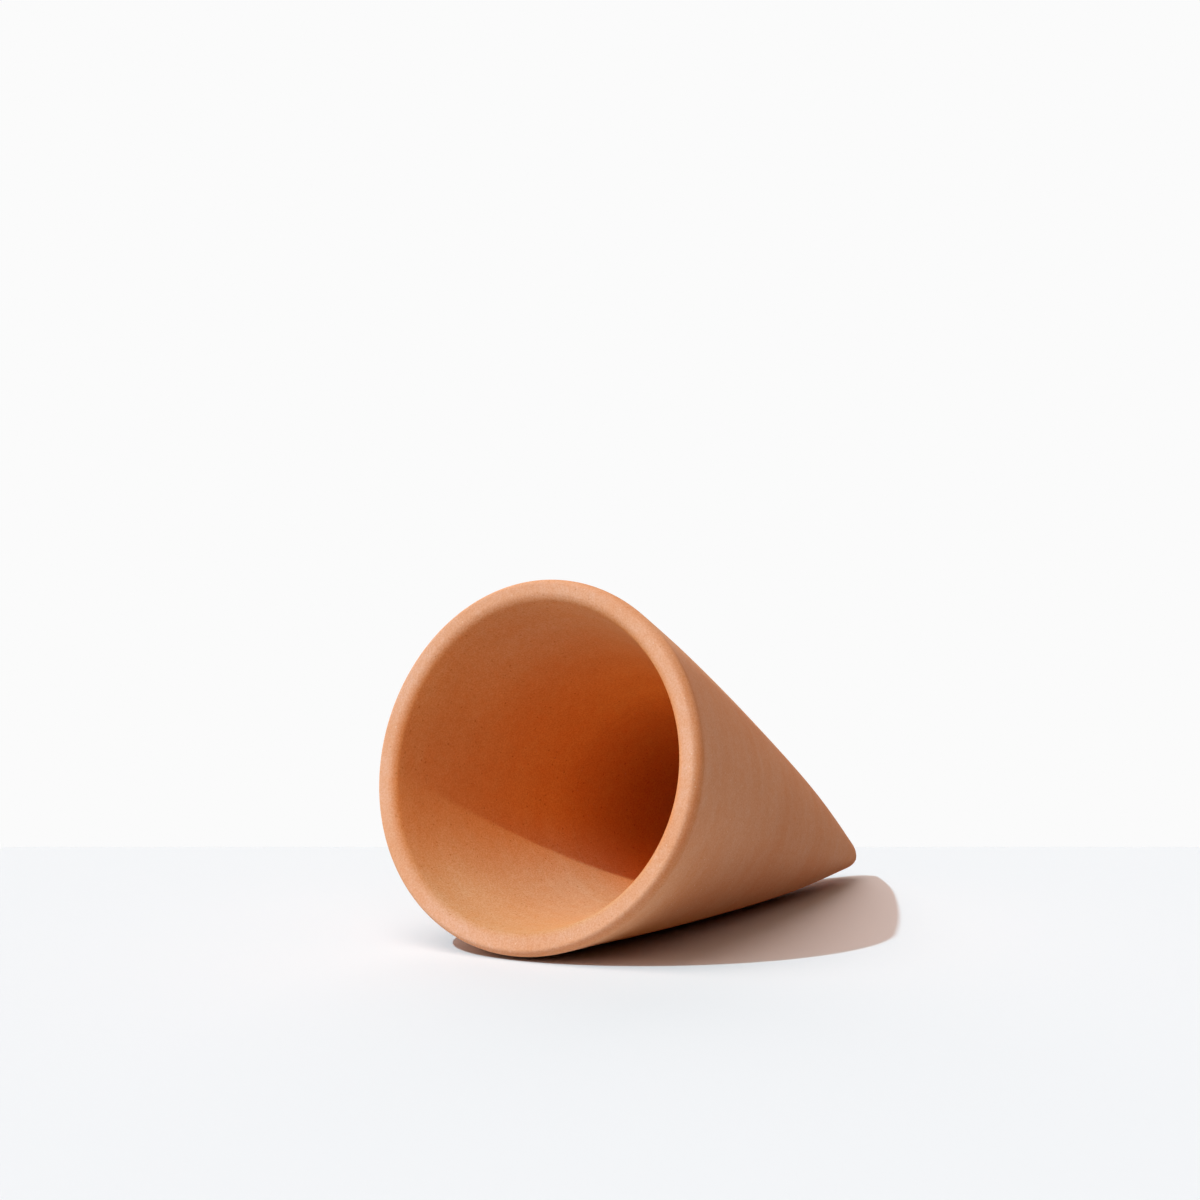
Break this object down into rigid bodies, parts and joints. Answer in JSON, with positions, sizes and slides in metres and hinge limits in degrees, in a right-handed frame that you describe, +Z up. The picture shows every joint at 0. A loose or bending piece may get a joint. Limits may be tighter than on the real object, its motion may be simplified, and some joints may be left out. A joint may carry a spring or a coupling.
{
  "type": "plant watering cone",
  "caption": "Hollow pointed cone of unglazed fired clay with a wide open mouth. Its tip is pushed into soil, it is filled with water, and the water seeps out through its wall.",
  "frame": {"origin": "on the table, under the middle of the box round the cone as it lies on its side", "axes": "+Z up; the tip points along +X, and the mouth faces -X, turned up by 15 degrees"},
  "size_m": [0.1564, 0.09, 0.0883],
  "materials": {
    "fired_clay": "unglazed, fine-grained and matt"
  },
  "bodies": {
    "root": {"clay_cone": "fired_clay"}
  },
  "joints": []
}
